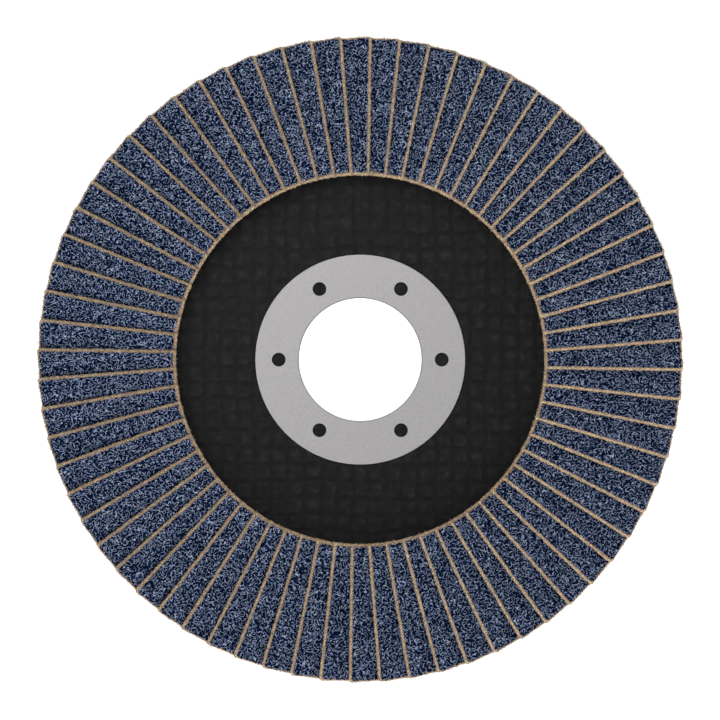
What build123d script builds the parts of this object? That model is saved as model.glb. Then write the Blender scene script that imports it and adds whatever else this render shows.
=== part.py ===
from build123d import *
import math
import os

# A flap disc for an angle grinder: overlapping flaps of coated abrasive cloth, bonded in a ring of
# resin to a pressed glass-fibre laminate plate, with a steel ring round the bore.
# Millimetres. The bore's axis is Z, the flaps face +Z and z = 0 is the back face of the hub.

# Bore ring, pressed from steel sheet: a flat flange, and a collar that lines the bore
BORE_DIAMETER = 22.23
RING_FLANGE_WIDTH = 7.97  # from the bore to the flange's rim
RING_SHEET = 0.8
RING_PROUD = 0.4  # the flange's front face above the plate
RING_BORE_CHAMFER = 0.2
RING_RIM_CHAMFER = 0.1
COLLAR_SET_BACK = 0.2  # the collar ends this far inside the hub's back face
KEYING_HOLES = 6
KEYING_HOLE_DIAMETER = 2.5
KEYING_HOLE_INSET = 3.65  # from the bore to the holes' centres
RING_FIT = 0.08  # round the flange and the collar

# Backing plate, one pressing with a depressed hub
PLATE_THICKNESS = 2.8
PLATE_RIM_INSET = 4.83  # inside the flaps' rim ends
PLATE_RIM_CHAMFER = 0.4
HUB_DEPTH = 3.2
HUB_WALL_ANGLE = 60.0
HUB_WALL_INSET = 0.8  # the wall's foot lies this far outside the flaps' inner ends
HUB_EDGE_RADIUS = 3.0  # outside the bend at the wall's foot
WALL_TOP_CHAMFER = 1.0  # outside the bend at the wall's top

# Flaps, cut from coated cloth with a bevelled inner end and a slightly skewed rim end
FLAP_COUNT = 68
PAIR = 2
FLAP_THICKNESS = 1.24
FLAP_WIDTH = 13.0  # down the slope, from the exposed edge to the bonded edge
FLAP_INNER_RADIUS = 33.28
FLAP_RIM_RADIUS = 58.33
FLAP_INNER_BEVEL = 0.52
FLAP_RIM_SKEW = 4.5
FLAP_GAP = 0.05  # between neighbours, where they come closest
EDGE_OFFSET = 0.94  # the exposed edges run past the bore's axis at this distance
FIRST_FLAP_ANGLE = 4.44

# Resin bed, with a tooth between the bonded edges of each two flaps
BED_THICKNESS = 0.8  # under the flaps
BED_TOOTH_HEIGHT = 1.1
BED_RIM_INSET = 0.8  # from the plate's rim
BED_WALL_INSET = 0.6  # from the chamfer at the top of the hub's wall
BED_FIT = 0.05  # round each flap's bonded edge

bore_radius = BORE_DIAMETER / 2
collar_radius = bore_radius + RING_SHEET
ring_radius = bore_radius + RING_FLANGE_WIDTH
ring_front_z = PLATE_THICKNESS + RING_PROUD
ring_seat_z = ring_front_z - RING_SHEET

plate_radius = FLAP_RIM_RADIUS - PLATE_RIM_INSET
plate_front_z = HUB_DEPTH + PLATE_THICKNESS
wall_foot_radius = FLAP_INNER_RADIUS + HUB_WALL_INSET
wall_top_radius = wall_foot_radius + HUB_DEPTH / math.tan(math.radians(HUB_WALL_ANGLE))

flap_pitch = 360 / FLAP_COUNT
closest_step = FLAP_INNER_RADIUS * math.sin(math.radians(flap_pitch))
flap_slope = math.asin((FLAP_THICKNESS + FLAP_GAP) / closest_step)
bed_seat_z = plate_front_z + BED_THICKNESS
# the back of a flap that points along X: its x runs out along the flap, its y down the slope
flap_back = Plane(
    origin=(
        0,
        -EDGE_OFFSET - FLAP_THICKNESS * math.sin(flap_slope) / 2,
        bed_seat_z + FLAP_WIDTH * math.sin(flap_slope),
    ),
    x_dir=(1, 0, 0),
    z_dir=(0, math.sin(flap_slope), math.cos(flap_slope)),
)


def nearest(section, point):
    """The corner of a section that lies at or next to a point."""
    return section.vertices().sort_by_distance(point)[0]


def backing_plate():
    """The front line of the pressing, given its thickness and turned round the bore."""
    front = Polyline(
        (collar_radius + RING_FIT, PLATE_THICKNESS),
        (wall_foot_radius, PLATE_THICKNESS),
        (wall_top_radius, plate_front_z),
        (plate_radius, plate_front_z),
    )
    outline = offset(
        front, PLATE_THICKNESS, kind=Kind.INTERSECTION, side=Side.RIGHT, closed=True
    )
    section = make_face(outline.edges())
    section = fillet(nearest(section, (wall_foot_radius + PLATE_THICKNESS, 0)), HUB_EDGE_RADIUS)
    section = chamfer(nearest(section, (wall_top_radius, plate_front_z)), WALL_TOP_CHAMFER)
    section = chamfer(nearest(section, (plate_radius, HUB_DEPTH)), PLATE_RIM_CHAMFER)
    return revolve(Plane.XZ * (section - ring_recess()), Axis.Z)


def ring_recess():
    """The flange's seat in the plate's section, from the bore to just outside the flange."""
    width = ring_radius + RING_FIT - bore_radius
    seat = Rectangle(width, PLATE_THICKNESS, align=(Align.MIN, Align.MIN))
    return Pos(bore_radius, ring_seat_z) * seat


def bore_ring():
    """Flange and collar turned in one section, then the keying holes that the resin wells into."""
    flange_rim = (ring_radius, ring_front_z)
    bore_mouth = (bore_radius, ring_front_z)
    section = make_face(
        Polyline(
            (bore_radius, COLLAR_SET_BACK),
            (collar_radius, COLLAR_SET_BACK),
            (collar_radius, ring_seat_z),
            (ring_radius, ring_seat_z),
            flange_rim,
            bore_mouth,
            close=True,
        )
    )
    section = chamfer(nearest(section, flange_rim), RING_RIM_CHAMFER)
    section = chamfer(nearest(section, bore_mouth), RING_BORE_CHAMFER)
    ring = revolve(Plane.XZ * section, Axis.Z)
    middle = Pos(0, 0, ring_front_z - RING_SHEET / 2)
    hole = Cylinder(KEYING_HOLE_DIAMETER / 2, 2 * RING_SHEET)
    places = PolarLocations(bore_radius + KEYING_HOLE_INSET, KEYING_HOLES)
    return ring - [middle * place * hole for place in places]


def rim_end():
    """The line of a flap's rim end, on its back: from the exposed edge, skewed inwards."""
    start = math.sqrt(FLAP_RIM_RADIUS**2 - EDGE_OFFSET**2)
    return start, start - FLAP_WIDTH * math.tan(math.radians(FLAP_RIM_SKEW))


def flap():
    """One flap: its outline on the cloth's back, thickened, with the inner end cut to a bevel."""
    at_exposed_edge, at_bonded_edge = rim_end()
    outline = Polyline(
        (FLAP_INNER_RADIUS, 0),
        (at_exposed_edge, 0),
        (at_bonded_edge, FLAP_WIDTH),
        (FLAP_INNER_RADIUS, FLAP_WIDTH),
        close=True,
    )
    blank = extrude(flap_back * make_face(outline), FLAP_THICKNESS)
    bevel = make_face(
        Polyline(
            (FLAP_INNER_RADIUS, 0),
            (FLAP_INNER_RADIUS + FLAP_INNER_BEVEL, FLAP_THICKNESS),
            (FLAP_INNER_RADIUS, FLAP_THICKNESS),
            close=True,
        )
    )
    along_flap = flap_back * Plane.XZ
    return blank - extrude(along_flap * bevel, FLAP_WIDTH, both=True)


def flap_turn(number):
    """Where flap NUMBER points, counted counter-clockwise from the first."""
    return Rot(0, 0, FIRST_FLAP_ANGLE + number * flap_pitch)


def adhesive_bed():
    """A ring of resin, with the room that every flap takes cut out of it, so that teeth are left."""
    align = (Align.CENTER, Align.CENTER, Align.MIN)
    height = BED_THICKNESS + BED_TOOTH_HEIGHT
    ring = Cylinder(plate_radius - BED_RIM_INSET, height, align=align)
    ring -= Cylinder(wall_top_radius + WALL_TOP_CHAMFER + BED_WALL_INSET, height, align=align)
    room = flap_back * Pos(0, -BED_FIT, -BED_FIT) * Box(
        2 * plate_radius,
        FLAP_WIDTH + 2 * BED_FIT,
        FLAP_WIDTH,
        align=(Align.MIN, Align.MIN, Align.MIN),
    )
    bed = Pos(0, 0, plate_front_z) * ring
    for number in range(FLAP_COUNT):
        bed -= flap_turn(number) * room
    return bed


def write(shape, node):
    export_step(shape, f"parts/{node}.step")


os.makedirs("parts", exist_ok=True)
write(backing_plate(), "backing_plate")
write(bore_ring(), "bore_ring")
write(adhesive_bed(), "adhesive_bed")

one_flap = flap()
for pair, first in enumerate(range(0, FLAP_COUNT, PAIR), start=1):
    members = range(first, min(first + PAIR, FLAP_COUNT))
    flaps = Compound(children=[flap_turn(number) * one_flap for number in members])
    write(flaps, f"flap_pair_{pair:02d}")
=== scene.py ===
import math

import bpy
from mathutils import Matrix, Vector


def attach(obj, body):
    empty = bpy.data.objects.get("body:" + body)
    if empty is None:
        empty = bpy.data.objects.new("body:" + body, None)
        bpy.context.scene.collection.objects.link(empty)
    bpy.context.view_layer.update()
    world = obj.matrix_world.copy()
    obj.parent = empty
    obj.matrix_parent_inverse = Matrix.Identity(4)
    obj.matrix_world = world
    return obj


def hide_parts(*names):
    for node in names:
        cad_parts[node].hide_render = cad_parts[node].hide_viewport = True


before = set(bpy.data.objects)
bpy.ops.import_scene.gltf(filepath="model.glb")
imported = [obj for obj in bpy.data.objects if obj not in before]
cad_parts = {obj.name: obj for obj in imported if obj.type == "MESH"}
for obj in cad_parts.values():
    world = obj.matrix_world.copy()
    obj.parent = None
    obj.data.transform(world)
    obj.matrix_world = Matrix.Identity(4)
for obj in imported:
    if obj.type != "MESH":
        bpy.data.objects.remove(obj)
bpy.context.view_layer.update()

# The dressed flap disc: coated flaps with frayed edges, a laminate plate, a steel ring and the
# resin bed, lying flaps up on a white floor and seen from straight above.
# Blender's unit is the metre. Sizes are written in millimetres and turned with MM.
MM = 0.001

# The flaps' sizes, as the CAD model has them
FLAP_COUNT = 68
FLAPS_A_PIECE = 2
FLAP_PITCH = 360 / FLAP_COUNT
FLAP_THICKNESS = 1.24
FLAP_WIDTH = 13.0
FLAP_INNER_RADIUS = 33.28
FLAP_RIM_RADIUS = 58.33
FLAP_INNER_BEVEL = 0.52
FLAP_RIM_SKEW = 4.5
FLAP_GAP = 0.05
EDGE_OFFSET = 0.94
FIRST_FLAP_ANGLE = 4.44
BED_SEAT_HEIGHT = 6.8
CLOSEST_STEP = FLAP_INNER_RADIUS * math.sin(math.radians(FLAP_PITCH))
FLAP_SLOPE = math.degrees(math.asin((FLAP_THICKNESS + FLAP_GAP) / CLOSEST_STEP))

# What the camera takes in, at a plane between the plate's front and the top of the flaps
VIEW_WIDTH = 130.1
VIEW_PLANE_HEIGHT = 10
CAMERA_DISTANCE = 3000
DISC_OFF_CENTRE = (0.04, 0.07)
SENSOR_WIDTH = 36

# Colours, and a colour ramp's places and colours
# the grain's ramp runs from the dark blue resin up to the pale painted glints
BLUE_RESIN_AND_PAINTED_GLINTS = ((0.0, "000A20"), (0.22, "071937"), (0.5, "203254"), (0.8, "586888"), (1.0, "AAB4CB"))
BARED_CLOTH = "B59670"
TAN_YARNS = ((0.26, "756D63"), (0.42, "AA9278"), (0.58, "CCAD89"), (0.72, "EAD3AE"))
COAT_FROM_THE_SIDE = "4C5468"
BROWN_WEAVE = ((0.3, "7C6242"), (0.7, "A4875F"))
BLACK_LAMINATE = ((0.15, "030303"), (0.5, "101010"), (0.7, "202020"))
GREY_STEEL = ((0.3, "ABA9AA"), (0.7, "BFBDBD"))
AMBER_EPOXY = ((0.3, "4A3520"), (0.7, "664A2C"))
SHADED_FLOOR = "E6E6E6"
WHITE = "FFFFFF"

# The span that nearly all of a noise's values lie in
NOISE_LOW = 0.3
NOISE_HIGH = 0.7


# ---------------------------------------------------------------- nodes


def linear(colour):
    """An sRGB colour of six hex digits as linear RGBA."""
    parts = [int(colour[start : start + 2], 16) / 255 for start in (0, 2, 4)]
    return tuple(p / 12.92 if p <= 0.04045 else ((p + 0.055) / 1.055) ** 2.4 for p in parts) + (1,)


def add(tree, kind, inputs=(), stops=(), **settings):
    """Adds a node with its settings. Each input is a value, a socket, a node whose first output in
    use it takes, or a list of those for an input that joins them. Stops are a colour ramp's places
    and colours."""
    node = tree.nodes.new(kind)
    for name, value in settings.items():
        setattr(node, name, value)
    for key, value in dict(inputs).items():
        in_use = [socket for socket in node.inputs if socket.enabled]
        socket = in_use[key] if isinstance(key, int) else next(s for s in in_use if s.name == key)
        for source in value if isinstance(value, list) else [value]:
            if isinstance(source, bpy.types.Node):
                source = next(output for output in source.outputs if output.enabled)
            if isinstance(source, bpy.types.NodeSocket):
                tree.links.new(source, socket)
            else:
                socket.default_value = source
    for index, (place, colour) in enumerate(stops):
        elements = node.color_ramp.elements
        element = elements[index] if index < 2 else elements.new(place)
        element.position = place
        element.color = linear(colour)
    return node


def new_material(name):
    """A material and its tree, still empty."""
    material = bpy.data.materials.new(name)
    material.use_nodes = True
    material.node_tree.nodes.clear()
    return material, material.node_tree


def on_the_piece(tree):
    """The place on a piece in millimetres."""
    place = add(tree, "ShaderNodeTexCoord").outputs["Object"]
    return add(tree, "ShaderNodeVectorMath", {0: place, "Scale": 1 / MM}, operation="SCALE")


def on_the_cloth(tree):
    """The place on a flap's cloth in millimetres: out along it, down its slope and through it."""
    cloth = add(tree, "ShaderNodeAttribute", attribute_name="cloth").outputs["Vector"]
    return add(tree, "ShaderNodeVectorMath", {0: cloth, "Scale": 1 / MM}, operation="SCALE")


# ---------------------------------------------------------------- materials


# painted glints: these curls of pale colour on the grain stand for light on its crystal edges
def painted_glint_curls(tree, place, size, shift, half_width):
    """Thin curls of one width, 1 along their middle and 0 beside them: where a soft noise passes
    its mean, with the distance from there taken from how steep the noise is. Where it is nearly
    flat, it counts as a little steep, so that the division holds."""
    step = 0.04
    least_rise = 0.18 * step / size
    samples = []
    for aside in ((0, 0, 0), (step, 0, 0), (0, step, 0), (0, 0, step)):
        there = add(
            tree,
            "ShaderNodeVectorMath",
            {0: place, 1: tuple(shift + part for part in aside)},
            operation="ADD",
        )
        samples.append(
            add(tree, "ShaderNodeTexNoise", {"Vector": there, "Scale": 1 / size, "Detail": 0.0})
        )
    rises = [
        add(tree, "ShaderNodeMath", {0: sample, 1: samples[0]}, operation="SUBTRACT")
        for sample in samples[1:]
    ]
    rise = add(tree, "ShaderNodeCombineXYZ", dict(zip("XYZ", rises)))
    steep = add(tree, "ShaderNodeVectorMath", {0: rise}, operation="LENGTH")
    steep = add(tree, "ShaderNodeMath", {0: steep, 1: least_rise}, operation="MAXIMUM")
    from_mean = add(tree, "ShaderNodeMath", {0: samples[0], 1: 0.5}, operation="SUBTRACT")
    from_mean = add(tree, "ShaderNodeMath", {0: from_mean}, operation="ABSOLUTE")
    steps_aside = add(tree, "ShaderNodeMath", {0: from_mean, 1: steep}, operation="DIVIDE")
    return add(
        tree,
        "ShaderNodeMapRange",
        {"Value": steps_aside, "From Min": half_width / step, "From Max": 0.0},
        interpolation_type="SMOOTHSTEP",
    )


def tinted(tree, place, colour, size, strength):
    """A colour whose red, green and blue wander apart from spot to spot."""
    spots = add(tree, "ShaderNodeTexNoise", {"Vector": place, "Scale": 1 / size, "Detail": 1.0})
    tint = add(
        tree,
        "ShaderNodeVectorMath",
        {0: spots.outputs["Color"], 1: (strength,) * 3, 2: (1 - strength / 2,) * 3},
        operation="MULTIPLY_ADD",
    )
    return add(tree, "ShaderNodeVectorMath", {0: colour, 1: tint}, operation="MULTIPLY")


def torn(tree, place, distance, least, most):
    """1 where a distance in millimetres is under a bound that wanders between least and most."""
    tear_size = 0.45
    half_blur = 0.06
    wander = add(
        tree, "ShaderNodeTexNoise", {"Vector": place, "Scale": 1 / tear_size, "Detail": 2.0}
    )
    bound = add(
        tree,
        "ShaderNodeMapRange",
        {
            "Value": wander,
            "From Min": NOISE_LOW,
            "From Max": NOISE_HIGH,
            "To Min": least,
            "To Max": most,
        },
    )
    past = add(tree, "ShaderNodeMath", {0: distance, 1: bound}, operation="SUBTRACT")
    return add(
        tree,
        "ShaderNodeMapRange",
        {"Value": past, "From Min": half_blur, "From Max": -half_blur},
        interpolation_type="SMOOTHSTEP",
    )


def zirconia_grain():
    """Zirconia alumina grain, electrostatically coated into blue phenolic resin: the crystals
    stand on end, and the light their edges catch is painted into the colour as pale curls, a
    painted glint, while the resin between them stays nearly black. The curls are drawn coarser
    than the crystals' edges, so that they show. Along the cut edges grain has broken out of the
    tan cloth here and there."""
    material, tree = new_material("zirconia_grain_in_blue_resin")
    place = on_the_piece(tree)
    patch_size, patch_shift = 0.42, 50
    lump_size = 1.1
    curls = []
    for size, shift, half_width in ((0.68, 0.0, 0.125), (0.6, 31.7, 0.12)):
        curl = painted_glint_curls(tree, place, size, shift, half_width)
        there = add(
            tree,
            "ShaderNodeVectorMath",
            {0: place, 1: (shift + patch_shift, patch_shift, patch_shift)},
            operation="ADD",
        )
        patches = add(
            tree, "ShaderNodeTexNoise", {"Vector": there, "Scale": 1 / patch_size, "Detail": 1.0}
        )
        broken = add(
            tree,
            "ShaderNodeMapRange",
            {"Value": patches, "From Min": 0.34, "From Max": 0.54, "To Min": 0.1, "To Max": 1.0},
            interpolation_type="SMOOTHSTEP",
        )
        curls.append(add(tree, "ShaderNodeMath", {0: curl, 1: broken}, operation="MULTIPLY"))
    glint_strokes = add(tree, "ShaderNodeMath", {0: curls[0], 1: curls[1]}, operation="MAXIMUM")
    lumps = add(
        tree, "ShaderNodeTexNoise", {"Vector": place, "Scale": 1 / lump_size, "Detail": 3.0}
    )
    lift = add(
        tree,
        "ShaderNodeMapRange",
        {"Value": lumps, "From Min": 0.35, "From Max": 0.65, "To Min": -0.04, "To Max": 0.05},
    )
    # the curls' painted glints plus the lumps' random tone, which the ramp turns into colour
    light = add(tree, "ShaderNodeMath", {0: glint_strokes, 1: lift}, operation="ADD")
    plain = add(tree, "ShaderNodeValToRGB", {"Fac": light}, stops=BLUE_RESIN_AND_PAINTED_GLINTS)
    grains = tinted(tree, place, plain, size=0.6, strength=0.45)
    border = add(tree, "ShaderNodeAttribute", attribute_name="from_cut_edge").outputs["Fac"]
    from_edge = add(tree, "ShaderNodeMath", {0: border, 1: 1 / MM}, operation="MULTIPLY")
    colour = add(
        tree,
        "ShaderNodeMix",
        {
            "Factor": torn(tree, place, from_edge, least=-0.17, most=0.19),
            "A": grains,
            "B": linear(BARED_CLOTH),
        },
        data_type="RGBA",
    )
    relief = add(
        tree, "ShaderNodeBump", {"Height": glint_strokes, "Distance": 0.1 * MM, "Strength": 1.0}
    )
    shader = add(
        tree,
        "ShaderNodeBsdfPrincipled",
        {"Base Color": colour, "Roughness": 0.7, "Specular IOR Level": 0.06, "Normal": relief},
    )
    add(tree, "ShaderNodeOutputMaterial", {"Surface": shader})
    return material


def cut_cloth():
    """Polyester-cotton cloth filled with tan resin, cut through: specks of yarn ends that slant
    across the edge, paler in its core, and dark where the coat of grain begins."""
    material, tree = new_material("cut_polycotton_cloth")
    place = on_the_piece(tree)
    yarn_spacing = 0.56
    yarn_end_size = 0.4
    apart = add(tree, "ShaderNodeSeparateXYZ", {0: on_the_cloth(tree)}).outputs
    along = add(tree, "ShaderNodeMath", {0: apart["X"], 1: apart["Y"]}, operation="ADD")
    slant = add(
        tree, "ShaderNodeMath", {0: apart["Z"], 1: 0.6, 2: along}, operation="MULTIPLY_ADD"
    )
    turn = add(
        tree, "ShaderNodeMath", {0: slant, 1: 2 * math.pi / yarn_spacing}, operation="MULTIPLY"
    )
    yarns = add(tree, "ShaderNodeMath", {0: turn}, operation="SINE")
    ends = add(
        tree, "ShaderNodeTexNoise", {"Vector": place, "Scale": 1 / yarn_end_size, "Detail": 2.0}
    )
    specks = add(tree, "ShaderNodeMath", {0: yarns, 1: 0.1, 2: ends}, operation="MULTIPLY_ADD")
    off_core = add(
        tree, "ShaderNodeMath", {0: apart["Z"], 1: 0.5 * FLAP_THICKNESS}, operation="SUBTRACT"
    )
    off_core = add(tree, "ShaderNodeMath", {0: off_core}, operation="ABSOLUTE")
    core = add(
        tree,
        "ShaderNodeMapRange",
        {"Value": off_core, "From Min": 0.7, "From Max": 0.1, "To Min": -0.16, "To Max": 0.08},
    )
    tone = add(tree, "ShaderNodeMath", {0: specks, 1: core}, operation="ADD")
    tan = add(tree, "ShaderNodeValToRGB", {"Fac": tone}, stops=TAN_YARNS)
    yarn = tinted(tree, place, tan, size=0.42, strength=0.8)
    from_coat = add(
        tree, "ShaderNodeMath", {0: FLAP_THICKNESS, 1: apart["Z"]}, operation="SUBTRACT"
    )
    colour = add(
        tree,
        "ShaderNodeMix",
        {
            "Factor": torn(tree, place, from_coat, least=-0.12, most=0.18),
            "A": yarn,
            "B": linear(COAT_FROM_THE_SIDE),
        },
        data_type="RGBA",
    )
    relief = add(tree, "ShaderNodeBump", {"Height": specks, "Distance": 0.1 * MM, "Strength": 1.0})
    shader = add(
        tree,
        "ShaderNodeBsdfPrincipled",
        {
            "Base Color": colour,
            "Roughness": 0.85,
            "Specular IOR Level": 0.2,
            "Sheen Weight": 0.1,
            "Normal": relief,
        },
    )
    add(tree, "ShaderNodeOutputMaterial", {"Surface": shader})
    return material


def cloth_back():
    """The back of the same cloth, filled with brown phenolic resin: a plain weave of
    half-millimetre yarns that stand out a little, satin where the resin closed it."""
    material, tree = new_material("filled_cloth_back")
    place = on_the_piece(tree)
    two_yarns = 1.04
    stain_size = 2.0
    turned = add(
        tree,
        "ShaderNodeVectorMath",
        {0: on_the_cloth(tree), "Scale": 2 * math.pi / two_yarns},
        operation="SCALE",
    )
    apart = add(tree, "ShaderNodeSeparateXYZ", {0: turned}).outputs
    rows = [add(tree, "ShaderNodeMath", {0: apart[axis]}, operation="SINE") for axis in "XY"]
    weave = add(tree, "ShaderNodeMath", {0: rows[0], 1: rows[1]}, operation="MULTIPLY")
    stain = add(
        tree, "ShaderNodeTexNoise", {"Vector": place, "Scale": 1 / stain_size, "Detail": 3.0}
    )
    tone = add(tree, "ShaderNodeMath", {0: weave, 1: 0.12, 2: stain}, operation="MULTIPLY_ADD")
    colour = add(tree, "ShaderNodeValToRGB", {"Fac": tone}, stops=BROWN_WEAVE)
    relief = add(tree, "ShaderNodeBump", {"Height": weave, "Distance": 0.05 * MM, "Strength": 1.0})
    shader = add(
        tree,
        "ShaderNodeBsdfPrincipled",
        {"Base Color": colour, "Roughness": 0.6, "Specular IOR Level": 0.3, "Normal": relief},
    )
    add(tree, "ShaderNodeOutputMaterial", {"Surface": shader})
    return material


def glass_laminate():
    """Black phenolic resin pressed over open glass mesh, 3 mm between bundles: the bundles lie
    under the skin as darker, slightly bent lines between cloudy, paler windows."""
    material, tree = new_material("pressed_glass_mesh_laminate")
    place = on_the_piece(tree)
    bundle_spacing = 3.0
    bend_size, most_bend = 9.0, 2.2
    strand_size, strand_stretch = 1.8, 0.25
    cloud_size = 1.5
    bend = add(
        tree, "ShaderNodeTexNoise", {"Vector": place, "Scale": 1 / bend_size, "Detail": 1.0}
    )
    apart = add(tree, "ShaderNodeSeparateXYZ", {0: place}).outputs
    bundles = []
    for across, stretch in (
        (apart["X"], (1, strand_stretch, 1)),
        (apart["Y"], (strand_stretch, 1, 1)),
    ):
        bent = add(
            tree, "ShaderNodeMath", {0: bend, 1: most_bend, 2: across}, operation="MULTIPLY_ADD"
        )
        turn = add(
            tree,
            "ShaderNodeMath",
            {0: bent, 1: 2 * math.pi / bundle_spacing},
            operation="MULTIPLY",
        )
        wave = add(tree, "ShaderNodeMath", {0: turn}, operation="COSINE")
        bundle = add(
            tree,
            "ShaderNodeMapRange",
            {"Value": wave, "From Min": 0.1},
            interpolation_type="SMOOTHSTEP",
        )
        lengthways = add(
            tree, "ShaderNodeVectorMath", {0: place, 1: stretch}, operation="MULTIPLY"
        )
        deep = add(
            tree,
            "ShaderNodeTexNoise",
            {"Vector": lengthways, "Scale": 1 / strand_size, "Detail": 2.0},
        )
        bundles.append(add(tree, "ShaderNodeMath", {0: bundle, 1: deep}, operation="MULTIPLY"))
    lines = add(tree, "ShaderNodeMath", {0: bundles[0], 1: bundles[1]}, operation="MAXIMUM")
    clouds = add(
        tree, "ShaderNodeTexNoise", {"Vector": place, "Scale": 1 / cloud_size, "Detail": 3.0}
    )
    tone = add(tree, "ShaderNodeMath", {0: lines, 1: -0.45, 2: clouds}, operation="MULTIPLY_ADD")
    colour = add(tree, "ShaderNodeValToRGB", {"Fac": tone}, stops=BLACK_LAMINATE)
    relief = add(tree, "ShaderNodeBump", {"Height": tone, "Distance": 0.06 * MM, "Strength": 1.0})
    shader = add(
        tree,
        "ShaderNodeBsdfPrincipled",
        {"Base Color": colour, "Roughness": 0.4, "Specular IOR Level": 0.18, "Normal": relief},
    )
    add(tree, "ShaderNodeOutputMaterial", {"Surface": shader})
    return material


def tumbled_steel():
    """Cold-rolled steel sheet, blanked, pressed and tumbled: an even pale grey satin, with short
    scratches in all directions that give it a fine speckle. Real ones are finer than 0.1 mm and
    wouldn't show, so they are drawn at 0.3 mm."""
    material, tree = new_material("tumbled_steel_sheet")
    place = on_the_piece(tree)
    scratch_size = 0.3
    scratches = add(
        tree,
        "ShaderNodeTexNoise",
        {"Vector": place, "Scale": 1 / scratch_size, "Detail": 3.0, "Distortion": 1.0},
    )
    colour = add(tree, "ShaderNodeValToRGB", {"Fac": scratches}, stops=GREY_STEEL)
    gloss = add(
        tree,
        "ShaderNodeMapRange",
        {
            "Value": scratches,
            "From Min": NOISE_LOW,
            "From Max": NOISE_HIGH,
            "To Min": 0.41,
            "To Max": 0.48,
        },
    )
    relief = add(
        tree, "ShaderNodeBump", {"Height": scratches, "Distance": 0.002 * MM, "Strength": 1.0}
    )
    shader = add(
        tree,
        "ShaderNodeBsdfPrincipled",
        {"Base Color": colour, "Metallic": 1.0, "Roughness": gloss, "Normal": relief},
    )
    add(tree, "ShaderNodeOutputMaterial", {"Surface": shader})
    return material


def epoxy_bed():
    """Epoxy poured into the bed and squeezed up between the flaps, then cured: dark amber, glossy,
    with slow waves where it was pushed."""
    material, tree = new_material("cured_epoxy")
    place = on_the_piece(tree)
    wave_size = 1.8
    waves = add(
        tree, "ShaderNodeTexNoise", {"Vector": place, "Scale": 1 / wave_size, "Detail": 1.0}
    )
    colour = add(tree, "ShaderNodeValToRGB", {"Fac": waves}, stops=AMBER_EPOXY)
    relief = add(tree, "ShaderNodeBump", {"Height": waves, "Distance": 0.1 * MM, "Strength": 1.0})
    shader = add(
        tree,
        "ShaderNodeBsdfPrincipled",
        {"Base Color": colour, "Roughness": 0.3, "Normal": relief},
    )
    add(tree, "ShaderNodeOutputMaterial", {"Surface": shader})
    return material


# ---------------------------------------------------------------- the flaps

# A face points along an axis where its normal's share of that axis is past this
FACING = 0.5


def flap_inputs(tree):
    """Gives the tree an input for each size, filled with this disc's, and returns them by name."""
    slope = math.radians(FLAP_SLOPE)
    length = math.sqrt(FLAP_RIM_RADIUS**2 - EDGE_OFFSET**2) - FLAP_INNER_RADIUS
    back_height = BED_SEAT_HEIGHT + FLAP_WIDTH * math.sin(slope)
    back_offset = EDGE_OFFSET + FLAP_THICKNESS * math.sin(slope) / 2
    # a point about every 0.23 mm where a flap shows, and under a million triangles in all
    numbers = {
        "First flap": 0,
        "Flaps": FLAPS_A_PIECE,
        "Columns": 111,
        "Rows": 33,
        "Layers": 5,
        "Seed": 1,
    }
    sizes = {
        "Pitch": math.radians(FLAP_PITCH),
        "First angle": math.radians(FIRST_FLAP_ANGLE),
        "Slope": slope,
        "Skew": math.tan(math.radians(FLAP_RIM_SKEW)),
        "Length": length * MM,
        "Width": FLAP_WIDTH * MM,
        "Shown width": 6.3 * MM,
        "Shown rows": 0.82,
        "Thickness": FLAP_THICKNESS * MM,
        "Bevel": FLAP_INNER_BEVEL * MM,
        "Rim bevel": 0.16 * MM,
        "Worn corner": 0.4 * MM,
        "Worn width": 0.45 * MM,
        "Inner radius": FLAP_INNER_RADIUS * MM,
        "Back offset": back_offset * MM,
        "Back height": back_height * MM,
        "End nearness": 0.7,
        "Grain depth": 0.18 * MM,
        "Grain size": 0.8 * MM,
        "Yarn depth": 0.26 * MM,
        "Yarn size": 0.42 * MM,
        "Yarn overhang": 0.045 * MM,
        "Thread length": 0.27 * MM,
        "Thread radius": 0.04 * MM,
        "Threads a square metre": 2.2e6,
    }
    for kind, values in (("NodeSocketInt", numbers), ("NodeSocketFloat", sizes)):
        for name, value in values.items():
            socket = tree.interface.new_socket(name, in_out="INPUT", socket_type=kind)
            socket.default_value = value
    return tree.nodes.new("NodeGroupInput").outputs


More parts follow.
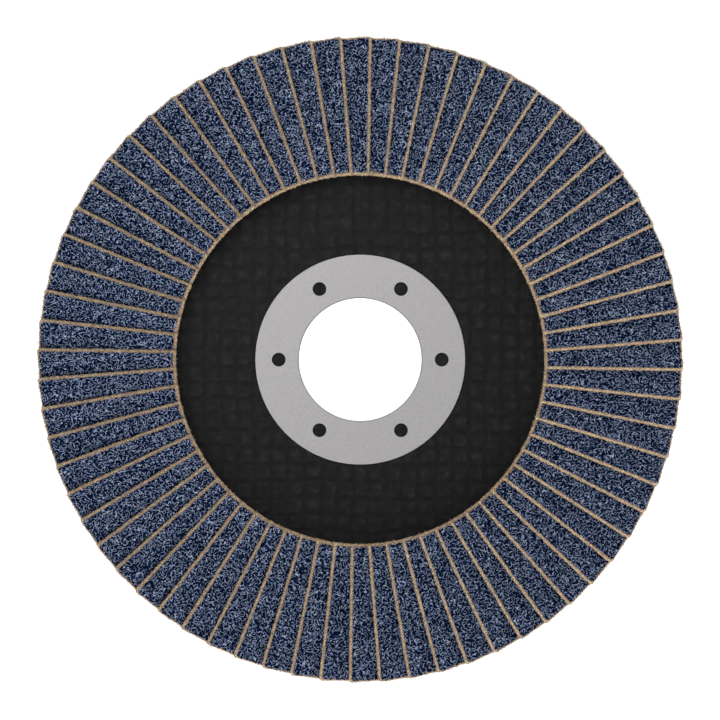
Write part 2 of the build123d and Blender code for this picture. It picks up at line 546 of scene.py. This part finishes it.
def smooth_flap(tree, size):
    """A flap with smooth faces, before it is laid on its slope: a box of fine rows, with x out
    along the flap, y down the slope and z through the cloth."""
    box = add(
        tree,
        "GeometryNodeMeshCube",
        {
            "Size": (1, 1, 1),
            "Vertices X": size["Columns"],
            "Vertices Y": size["Rows"],
            "Vertices Z": size["Layers"],
        },
    )
    unit = add(
        tree,
        "ShaderNodeVectorMath",
        {0: add(tree, "GeometryNodeInputPosition"), 1: (0.5, 0.5, 0.5)},
        operation="ADD",
    )
    share = add(tree, "ShaderNodeSeparateXYZ", {0: unit}).outputs

    # y: the rows are close together where the flap shows and far apart under its neighbour
    shown = add(
        tree,
        "ShaderNodeMapRange",
        {"Value": share["Y"], "From Max": size["Shown rows"], "To Max": size["Shown width"]},
        clamp=False,
    )
    covered = add(
        tree,
        "ShaderNodeMapRange",
        {
            "Value": share["Y"],
            "From Min": size["Shown rows"],
            "From Max": 1.0,
            "To Min": size["Shown width"],
            "To Max": size["Width"],
        },
        clamp=False,
    )
    down = add(tree, "ShaderNodeMath", {0: shown, 1: covered}, operation="MAXIMUM")

    # x: from the bevelled inner end to the skewed, bevelled rim end, worn at its exposed corner
    inner_end = add(
        tree, "ShaderNodeMath", {0: share["Z"], 1: size["Bevel"]}, operation="MULTIPLY"
    )
    skewed = add(tree, "ShaderNodeMath", {0: down, 1: size["Skew"]}, operation="MULTIPLY")
    set_back = add(
        tree,
        "ShaderNodeMath",
        {0: share["Z"], 1: size["Rim bevel"], 2: skewed},
        operation="MULTIPLY_ADD",
    )
    worn = add(
        tree,
        "ShaderNodeMapRange",
        {
            "Value": down,
            "From Max": size["Worn width"],
            "To Min": size["Worn corner"],
            "To Max": 0.0,
        },
    )
    set_back = add(tree, "ShaderNodeMath", {0: set_back, 1: worn}, operation="ADD")
    rim_end = add(tree, "ShaderNodeMath", {0: size["Length"], 1: set_back}, operation="SUBTRACT")
    along = add(
        tree,
        "ShaderNodeMapRange",
        {"Value": share["X"], "To Min": inner_end, "To Max": rim_end},
        clamp=False,
    )
    out = add(tree, "ShaderNodeMath", {0: along, 1: size["Inner radius"]}, operation="ADD")
    through = add(
        tree, "ShaderNodeMath", {0: share["Z"], 1: size["Thickness"]}, operation="MULTIPLY"
    )
    place = add(tree, "ShaderNodeCombineXYZ", {"X": out, "Y": down, "Z": through})
    return add(tree, "GeometryNodeSetPosition", {"Geometry": box, "Position": place})


def with_plain_back(tree, flap):
    """The flap with the fine rows of its back, which only the bed touches, made into one face."""
    facing = add(tree, "ShaderNodeSeparateXYZ", {0: add(tree, "GeometryNodeInputNormal")}).outputs
    at_back = add(tree, "ShaderNodeMath", {0: facing["Z"], 1: -FACING}, operation="LESS_THAN")
    open_flap = add(
        tree,
        "GeometryNodeDeleteGeometry",
        {"Geometry": flap, "Selection": at_back},
        domain="FACE",
    )
    neighbours = add(tree, "GeometryNodeInputMeshEdgeNeighbors")
    at_opening = add(
        tree, "FunctionNodeCompare", {"A": neighbours, "B": 1}, data_type="INT", operation="EQUAL"
    )
    outline = add(tree, "GeometryNodeMeshToCurve", {"Mesh": open_flap, "Selection": at_opening})
    back = add(tree, "GeometryNodeFillCurve", {"Curve": outline}, mode="NGONS")
    back = add(tree, "GeometryNodeFlipFaces", {"Mesh": back})
    both = add(tree, "GeometryNodeJoinGeometry", {"Geometry": [open_flap, back]})
    return add(tree, "GeometryNodeMergeByDistance", {"Geometry": both, "Distance": 0.002 * MM})


def marked_flap(tree, size, flap):
    """The flap with each point's place on the cloth and its distance from the nearest cut edge
    stored on it, and with its coated, back and end faces marked. The ends are counted as nearer
    than they are, since more grain breaks off there."""
    on_cloth = add(tree, "GeometryNodeInputPosition")
    part = add(tree, "ShaderNodeSeparateXYZ", {0: on_cloth}).outputs
    inner = add(
        tree, "ShaderNodeMath", {0: size["Inner radius"], 1: size["Bevel"]}, operation="ADD"
    )
    from_inner = add(tree, "ShaderNodeMath", {0: part["X"], 1: inner}, operation="SUBTRACT")
    skewed = add(tree, "ShaderNodeMath", {0: part["Y"], 1: size["Skew"]}, operation="MULTIPLY")
    rim = add(
        tree, "ShaderNodeMath", {0: size["Inner radius"], 1: size["Length"]}, operation="ADD"
    )
    rim = add(tree, "ShaderNodeMath", {0: rim, 1: size["Rim bevel"]}, operation="SUBTRACT")
    rim = add(tree, "ShaderNodeMath", {0: rim, 1: skewed}, operation="SUBTRACT")
    from_rim = add(tree, "ShaderNodeMath", {0: rim, 1: part["X"]}, operation="SUBTRACT")
    from_ends = add(tree, "ShaderNodeMath", {0: from_inner, 1: from_rim}, operation="MINIMUM")
    from_ends = add(
        tree, "ShaderNodeMath", {0: from_ends, 1: size["End nearness"]}, operation="MULTIPLY"
    )
    from_cut = add(tree, "ShaderNodeMath", {0: part["Y"], 1: from_ends}, operation="MINIMUM")

    facing = add(tree, "ShaderNodeSeparateXYZ", {0: add(tree, "GeometryNodeInputNormal")}).outputs
    coated = add(tree, "ShaderNodeMath", {0: facing["Z"], 1: FACING}, operation="GREATER_THAN")
    back = add(tree, "ShaderNodeMath", {0: facing["Z"], 1: -FACING}, operation="LESS_THAN")
    end = add(tree, "ShaderNodeMath", {0: facing["X"]}, operation="ABSOLUTE")
    end = add(tree, "ShaderNodeMath", {0: end, 1: FACING}, operation="GREATER_THAN")

    for name, value, kind, domain in (
        ("cloth", on_cloth, "FLOAT_VECTOR", "POINT"),
        ("from_cut_edge", from_cut, "FLOAT", "POINT"),
        ("coated", coated, "FLOAT", "FACE"),
        ("back", back, "FLOAT", "FACE"),
        ("end", end, "FLOAT", "FACE"),
    ):
        flap = add(
            tree,
            "GeometryNodeStoreNamedAttribute",
            {"Geometry": flap, "Name": name, "Value": value},
            data_type=kind,
            domain=domain,
        )
    return flap


def flaps_round_the_bore(tree, size, flap):
    """The flap laid on its slope, then turned to each of its places round the bore."""
    slope = add(tree, "ShaderNodeMath", {0: size["Slope"], 1: -1.0}, operation="MULTIPLY")
    offset = add(tree, "ShaderNodeMath", {0: size["Back offset"], 1: -1.0}, operation="MULTIPLY")
    place = add(tree, "ShaderNodeCombineXYZ", {"Y": offset, "Z": size["Back height"]})
    laid = add(
        tree,
        "GeometryNodeTransform",
        {
            "Geometry": flap,
            "Translation": place,
            "Rotation": add(tree, "ShaderNodeCombineXYZ", {"X": slope}),
        },
    )
    line = add(tree, "GeometryNodeMeshLine", {"Count": size["Flaps"], "Offset": (0, 0, 0)})
    number = add(
        tree,
        "ShaderNodeMath",
        {0: add(tree, "GeometryNodeInputIndex"), 1: size["First flap"]},
        operation="ADD",
    )
    turn = add(
        tree,
        "ShaderNodeMath",
        {0: number, 1: size["Pitch"], 2: size["First angle"]},
        operation="MULTIPLY_ADD",
    )
    ring = add(
        tree,
        "GeometryNodeInstanceOnPoints",
        {
            "Points": line,
            "Instance": laid,
            "Rotation": add(tree, "ShaderNodeCombineXYZ", {"Z": turn}),
        },
    )
    return add(tree, "GeometryNodeRealizeInstances", {"Geometry": ring})


def rough_flaps(tree, size, flaps, coated):
    """The flaps with relief. Grain is only sunk into the coated faces, so that no flap touches its
    neighbour, and yarn ends stand in and out of the cut ones. The grain's relief is coarser than
    the grain, so that the rows can hold it."""
    here = add(tree, "GeometryNodeInputPosition")
    depths = []
    for size_name, depth_name, least in (
        ("Grain size", "Grain depth", 0.0),
        ("Yarn size", "Yarn depth", -0.5),
    ):
        scale = add(tree, "ShaderNodeMath", {0: 1.0, 1: size[size_name]}, operation="DIVIDE")
        lumps = add(
            tree,
            "ShaderNodeTexNoise",
            {"Vector": here, "Scale": scale, "Detail": 1.0, "Roughness": 0.6},
        )
        share = add(
            tree,
            "ShaderNodeMapRange",
            {
                "Value": lumps,
                "From Min": NOISE_LOW,
                "From Max": NOISE_HIGH,
                "To Min": least,
                "To Max": least + 1.0,
            },
        )
        depths.append(
            add(tree, "ShaderNodeMath", {0: share, 1: size[depth_name]}, operation="MULTIPLY")
        )
    cloth = add(
        tree, "GeometryNodeInputNamedAttribute", {"Name": "cloth"}, data_type="FLOAT_VECTOR"
    )
    down = add(tree, "ShaderNodeSeparateXYZ", {0: cloth}).outputs["Y"]
    shown = add(tree, "ShaderNodeMath", {0: down, 1: size["Shown width"]}, operation="LESS_THAN")
    overhang = add(
        tree, "ShaderNodeMath", {0: shown, 1: size["Yarn overhang"]}, operation="MULTIPLY"
    )
    yarns = add(tree, "ShaderNodeMath", {0: depths[1], 1: overhang}, operation="SUBTRACT")
    sunk = add(tree, "ShaderNodeMix", {"Factor": coated, "A": yarns, "B": depths[0]})
    raised = add(tree, "ShaderNodeMath", {0: sunk, 1: -1.0}, operation="MULTIPLY")
    outwards = add(
        tree,
        "ShaderNodeVectorMath",
        {0: add(tree, "GeometryNodeInputNormal"), "Scale": raised},
        operation="SCALE",
    )
    return add(tree, "GeometryNodeSetPosition", {"Geometry": flaps, "Offset": outwards})


def frayed_threads(tree, size, flaps, coated, back, end):
    """Short bent threads that stand at random on the cut faces, most and longest at the ends."""
    covered = add(tree, "ShaderNodeMath", {0: coated, 1: back}, operation="ADD")
    cut = add(tree, "ShaderNodeMath", {0: 1.0, 1: covered}, operation="SUBTRACT")
    frayed = add(tree, "ShaderNodeMapRange", {"Value": end, "To Min": 0.5, "To Max": 1.0})
    share = add(tree, "ShaderNodeMath", {0: cut, 1: frayed}, operation="MULTIPLY")
    density = add(
        tree, "ShaderNodeMath", {0: share, 1: size["Threads a square metre"]}, operation="MULTIPLY"
    )
    roots = add(
        tree,
        "GeometryNodeDistributePointsOnFaces",
        {"Mesh": flaps, "Density": density, "Seed": size["Seed"]},
    ).outputs
    stalk = add(
        tree,
        "GeometryNodeCurveQuadraticBezier",
        {"Resolution": 3, "Start": (0, 0, -0.1), "Middle": (0, 0, 0.6), "End": (0, 0.5, 1.0)},
    )
    stalk = add(
        tree, "GeometryNodeTransform", {"Geometry": stalk, "Scale": size["Thread length"]}
    )
    section = add(
        tree,
        "GeometryNodeCurvePrimitiveCircle",
        {"Resolution": 3, "Radius": size["Thread radius"]},
    )
    thread = add(
        tree,
        "GeometryNodeCurveToMesh",
        {"Curve": stalk, "Profile Curve": section, "Fill Caps": True},
    )
    lean = add(
        tree,
        "FunctionNodeRandomValue",
        {"Min": (-0.6, -0.6, -3.1), "Max": (0.6, 0.6, 3.1), "Seed": size["Seed"]},
        data_type="FLOAT_VECTOR",
    )
    leaning = add(
        tree,
        "FunctionNodeRotateRotation",
        {"Rotation": roots["Rotation"], "Rotate By": lean},
        rotation_space="LOCAL",
    )
    reach = add(
        tree,
        "FunctionNodeRandomValue",
        {"Min": 0.3, "Max": 1.2, "Seed": size["Seed"]},
        data_type="FLOAT",
    )
    at_end = add(tree, "ShaderNodeMapRange", {"Value": end, "To Min": 0.55, "To Max": 1.0})
    reach = add(tree, "ShaderNodeMath", {0: reach, 1: at_end}, operation="MULTIPLY")
    threads = add(
        tree,
        "GeometryNodeInstanceOnPoints",
        {
            "Points": roots["Points"],
            "Instance": thread,
            "Rotation": leaning,
            "Scale": add(tree, "ShaderNodeCombineXYZ", {"X": 1.0, "Y": reach, "Z": reach}),
        },
    )
    return add(tree, "GeometryNodeRealizeInstances", {"Geometry": threads})


def flap_tree(grain, cut_edge, weave):
    """Geometry nodes that make a run of flaps: each a closed mesh of its own size, with grain sunk
    into its coated face, yarn ends on its cut faces and frayed threads standing off them."""
    tree = bpy.data.node_groups.new("flaps", "GeometryNodeTree")
    size = flap_inputs(tree)
    tree.interface.new_socket("Dressed flaps", in_out="OUTPUT", socket_type="NodeSocketGeometry")
    flap = marked_flap(tree, size, with_plain_back(tree, smooth_flap(tree, size)))
    flaps = flaps_round_the_bore(tree, size, flap)
    coated, back, end = (
        add(tree, "GeometryNodeInputNamedAttribute", {"Name": name}, data_type="FLOAT")
        for name in ("coated", "back", "end")
    )
    flaps = rough_flaps(tree, size, flaps, coated)
    threads = frayed_threads(tree, size, flaps, coated, back, end)

    flaps = add(tree, "GeometryNodeSetMaterial", {"Geometry": flaps, "Material": cut_edge})
    for share, finish in ((coated, grain), (back, weave)):
        chosen = add(tree, "FunctionNodeCompare", {"A": share, "B": 0.5}, operation="GREATER_THAN")
        flaps = add(
            tree,
            "GeometryNodeSetMaterial",
            {"Geometry": flaps, "Selection": chosen, "Material": finish},
        )
    threads = add(tree, "GeometryNodeSetMaterial", {"Geometry": threads, "Material": cut_edge})
    dressed = add(tree, "GeometryNodeJoinGeometry", {"Geometry": [flaps, threads]})
    add(tree, "NodeGroupOutput", {"Dressed flaps": dressed})
    return tree


def make_flaps(tree, piece_number):
    """The dressed flaps that stand for one CAD node of the ring, as a plain mesh."""
    node_name = f"flap_pair_{piece_number + 1:02d}"
    base = bpy.data.objects.new("flap_base", bpy.data.meshes.new("flap_base"))
    bpy.context.scene.collection.objects.link(base)
    modifier = base.modifiers.new("flaps", "NODES")
    modifier.node_group = tree
    sockets = {s.name: s.identifier for s in tree.interface.items_tree if s.in_out == "INPUT"}
    modifier[sockets["First flap"]] = piece_number * FLAPS_A_PIECE
    modifier[sockets["Seed"]] = piece_number + 1
    bpy.context.view_layer.update()
    evaluated = base.evaluated_get(bpy.context.evaluated_depsgraph_get())
    mesh = bpy.data.meshes.new_from_object(evaluated)
    mesh.name = f"dressed_{node_name}"
    base.modifiers.remove(modifier)
    bpy.data.objects.remove(base)
    piece = bpy.data.objects.new(f"dressed_{node_name}", mesh)
    bpy.context.scene.collection.objects.link(piece)
    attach(piece, "root")
    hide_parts(node_name)


# ---------------------------------------------------------------- dressing the part

flaps = flap_tree(zirconia_grain(), cut_cloth(), cloth_back())
for piece_number in range(FLAP_COUNT // FLAPS_A_PIECE):
    make_flaps(flaps, piece_number)

for node_name, material in (
    ("backing_plate", glass_laminate()),
    ("bore_ring", tumbled_steel()),
    ("adhesive_bed", epoxy_bed()),
):
    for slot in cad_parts[node_name].material_slots:
        slot.material = material


# ---------------------------------------------------------------- floor, light and camera


def white_floor():
    """A floor plain white to the camera and in reflections, with the part's shadow on it."""
    material, tree = new_material("white_floor")
    shaded = add(tree, "ShaderNodeBsdfDiffuse", {"Color": linear(SHADED_FLOOR)})
    white = add(tree, "ShaderNodeEmission", {"Color": linear(WHITE), "Strength": 0.75})
    both = add(tree, "ShaderNodeAddShader", {0: shaded, 1: white})
    path = add(tree, "ShaderNodeLightPath").outputs
    seen = add(
        tree,
        "ShaderNodeMath",
        {0: path["Is Camera Ray"], 1: path["Is Glossy Ray"]},
        operation="MAXIMUM",
    )
    seen = add(
        tree, "ShaderNodeMath", {0: seen, 1: path["Is Transmission Ray"]}, operation="MAXIMUM"
    )
    shown = add(tree, "ShaderNodeMixShader", {0: seen, 1: shaded, 2: both})
    add(tree, "ShaderNodeOutputMaterial", {"Surface": shown})
    return material


def lay_floor(half_width):
    """A square floor at the hub's back face, with its half width in metres."""
    mesh = bpy.data.meshes.new("floor")
    corners = [
        (-half_width, -half_width, 0),
        (half_width, -half_width, 0),
        (half_width, half_width, 0),
        (-half_width, half_width, 0),
    ]
    mesh.from_pydata(corners, [], [(0, 1, 2, 3)])
    floor = bpy.data.objects.new("floor", mesh)
    mesh.materials.append(white_floor())
    bpy.context.scene.collection.objects.link(floor)


def hang_lamp(name, place, size, power, mirrored):
    """A soft box that shines on the disc, with its place and width in metres and its power in
    watts. One that isn't mirrored is flagged off, so that glossy surfaces don't show it."""
    lamp = bpy.data.lights.new(name, "AREA")
    lamp.shape = "DISK"
    lamp.size = size
    lamp.energy = power
    box = bpy.data.objects.new(name, lamp)
    box.location = place
    box.rotation_euler = Vector(place).to_track_quat("Z", "Y").to_euler()
    box.visible_glossy = mirrored
    bpy.context.scene.collection.objects.link(box)


def light_room(strength):
    """An even pale room, which shows plain white behind the part from low views."""
    world = bpy.data.worlds.new("room")
    bpy.context.scene.world = world
    world.use_nodes = True
    tree = world.node_tree
    tree.nodes.clear()
    path = add(tree, "ShaderNodeLightPath").outputs
    seen = add(
        tree,
        "ShaderNodeMath",
        {0: path["Is Camera Ray"], 1: path["Is Transmission Ray"]},
        operation="MAXIMUM",
    )
    room = add(tree, "ShaderNodeBackground", {"Color": linear(WHITE), "Strength": strength})
    white = add(tree, "ShaderNodeBackground", {"Color": linear(WHITE), "Strength": 1.0})
    shown = add(tree, "ShaderNodeMixShader", {0: seen, 1: room, 2: white})
    add(tree, "ShaderNodeOutputWorld", {"Surface": shown})


def set_camera():
    """A long lens straight above the disc, so that the flaps' walls hardly show."""
    lens = bpy.data.cameras.new("camera")
    lens.sensor_width = SENSOR_WIDTH
    lens.lens = SENSOR_WIDTH * CAMERA_DISTANCE / VIEW_WIDTH
    lens.clip_start = 0.05
    lens.clip_end = 20
    camera = bpy.data.objects.new("camera", lens)
    camera.location = (
        -DISC_OFF_CENTRE[0] * MM,
        -DISC_OFF_CENTRE[1] * MM,
        (CAMERA_DISTANCE + VIEW_PLANE_HEIGHT) * MM,
    )
    bpy.context.scene.collection.objects.link(camera)
    bpy.context.scene.camera = camera


lay_floor(half_width=2.5)
light_room(strength=0.55)
# the key lights the flaps from one side, and the gloss lamp puts a sheen on the plate and the ring
hang_lamp("key", place=(0.05, -1.05, 1.8), size=1.0, power=20.0, mirrored=False)
hang_lamp("gloss", place=(-0.08, 0.09, 0.40), size=0.2, power=0.26, mirrored=True)
set_camera()
bpy.context.scene.view_settings.view_transform = "Standard"
